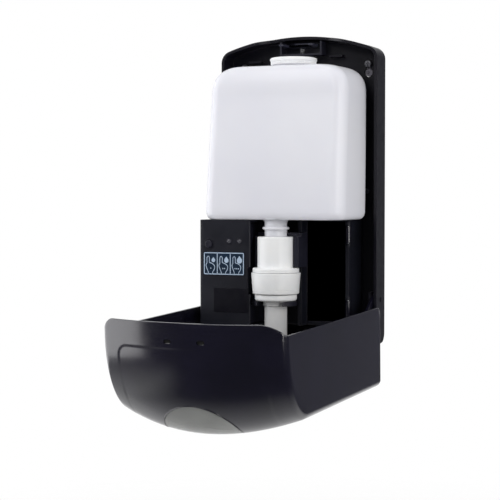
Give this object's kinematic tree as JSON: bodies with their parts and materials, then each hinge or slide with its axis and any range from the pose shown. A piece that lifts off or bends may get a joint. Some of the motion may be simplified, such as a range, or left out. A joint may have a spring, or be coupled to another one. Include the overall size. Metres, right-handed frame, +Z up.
{
  "type": "automatic soap dispenser",
  "caption": "Wall soap dispenser that works by itself: arched tray, hanging front cover, inverted bottle and pump, and a drive housing with dose button and lights.",
  "frame": {"origin": "on the wall face of the back plate, at mid width and mid height", "axes": "+X to the right seen from the front, -Y out of the wall, +Z up"},
  "size_m": [0.145, 0.2289, 0.3021],
  "materials": {
    "plate": "satin",
    "cover": "gloss",
    "window": "gloss",
    "dark_grey": "satin",
    "housing": "satin",
    "label": "printed film",
    "white": "satin",
    "milky": "translucent",
    "light": "clear",
    "board": "resin",
    "lens": "gloss",
    "steel": "satin",
    "acetal": "satin",
    "cell": "satin",
    "rubber": "matt"
  },
  "bodies": {
    "frame": {"back_plate": "plate", "wall_screw_left": "steel", "wall_screw_right": "steel", "lower_screw_left": "steel", "lower_screw_right": "steel", "latch_bracket": "dark_grey", "hinge_pin_left": "steel", "hinge_pin_right": "steel", "mechanism_housing": "housing", "drive_cover": "dark_grey", "housing_screw_left": "steel", "housing_screw_right": "steel", "dose_label": "label", "service_plate": "dark_grey", "status_light_left": "light", "status_light_right": "light", "circuit_board": "board", "button_switch": "plate", "sensor_window": "lens", "ir_emitter": "lens", "ir_receiver": "lens", "motor": "steel", "gear_plate": "steel", "idler_shaft": "steel", "output_shaft": "steel", "guide_rod": "steel", "pump_cradle": "dark_grey", "door_pin_lower": "steel", "door_pin_upper": "steel", "battery_cell_1": "cell", "battery_cell_2": "cell", "battery_cell_3": "cell", "battery_cell_4": "cell", "contact_plate_lower": "steel", "contact_plate_upper": "steel", "contact_spring_1": "steel", "contact_spring_2": "steel", "contact_spring_3": "steel", "contact_spring_4": "steel"},
    "cover": {"cover_shell": "cover", "level_window": "window", "cover_strike": "plate"},
    "latch": {"latch_slide": "dark_grey", "latch_spring": "steel"},
    "bottle_pack": {"bottle": "milky", "pump_collar": "white", "pump_cup": "white", "valve_ball": "steel"},
    "filler": {"fill_cap": "white", "cap_seal": "rubber"},
    "pump_stem": {"plunger": "white", "pump_spring": "steel", "nozzle_tube": "white", "outlet_insert": "white"},
    "lift": {"carriage": "acetal"},
    "output_wheel": {"output_gear": "acetal"},
    "idler_wheel": {"idler_gear": "acetal"},
    "motor_wheel": {"motor_pinion": "acetal"},
    "button": {"dose_button": "dark_grey"},
    "cell_door": {"battery_door": "cover"}
  },
  "joints": [
    {"name": "cover_hinge", "type": "hinge", "parent": "frame", "child": "cover", "pos_m": [0, -0.0105, -0.0892], "axis": [1, 0, 0], "range_deg": [-91.8, 0]},
    {"name": "latch_press", "type": "slide", "parent": "frame", "child": "latch", "axis": [0, 0, -1], "range_m": [0, 0.003], "stiffness_N_per_m": 300, "springref_m": -0.002, "deforming": ["latch_spring"]},
    {"name": "bottle_out", "type": "slide", "parent": "frame", "child": "bottle_pack", "axis": [0, -1, 0], "range_m": [0, 0.07]},
    {"name": "cap_turn", "type": "hinge", "parent": "bottle_pack", "child": "filler", "pos_m": [0, -0.0287, 0.1011], "axis": [0, 0, 1], "range_deg": [0, 360]},
    {"name": "pump_stroke", "type": "slide", "parent": "bottle_pack", "child": "pump_stem", "axis": [0, 0, 1], "range_m": [0, 0.0055], "stiffness_N_per_m": 800, "springref_m": -0.002, "deforming": ["pump_spring"]},
    {"name": "carriage_lift", "type": "slide", "parent": "frame", "child": "lift", "axis": [0, 0, 1], "range_m": [0, 0.0055]},
    {"name": "output_turn", "type": "hinge", "parent": "frame", "child": "output_wheel", "pos_m": [0, -0.0544, -0.0808], "axis": [-1, 0, 0], "range_deg": [0, 56.8]},
    {"name": "idler_turn", "type": "hinge", "parent": "frame", "child": "idler_wheel", "pos_m": [0, -0.04337, -0.06977], "axis": [1, 0, 0], "range_deg": [0, 188.1]},
    {"name": "motor_turn", "type": "hinge", "parent": "frame", "child": "motor_wheel", "pos_m": [0, -0.03762, -0.05981], "axis": [-1, 0, 0], "range_deg": [0, 675.8]},
    {"name": "button_press", "type": "slide", "parent": "frame", "child": "button", "axis": [0, 1, 0], "range_m": [0, 0.0008], "stiffness_N_per_m": 1500, "springref_m": -0.0005},
    {"name": "cell_door_open", "type": "hinge", "parent": "frame", "child": "cell_door", "pos_m": [0.0494, -0.033, -0.1058], "axis": [0, 0, 1], "range_deg": [0, 100]}
  ],
  "couplings": [
    {"joint": "carriage_lift", "follows": "pump_stroke", "ratio": 1},
    {"joint": "output_turn", "follows": "pump_stroke", "rad_per_m": 178.57},
    {"joint": "idler_turn", "follows": "pump_stroke", "rad_per_m": 595.24},
    {"joint": "motor_turn", "follows": "pump_stroke", "rad_per_m": 2142.9}
  ]
}
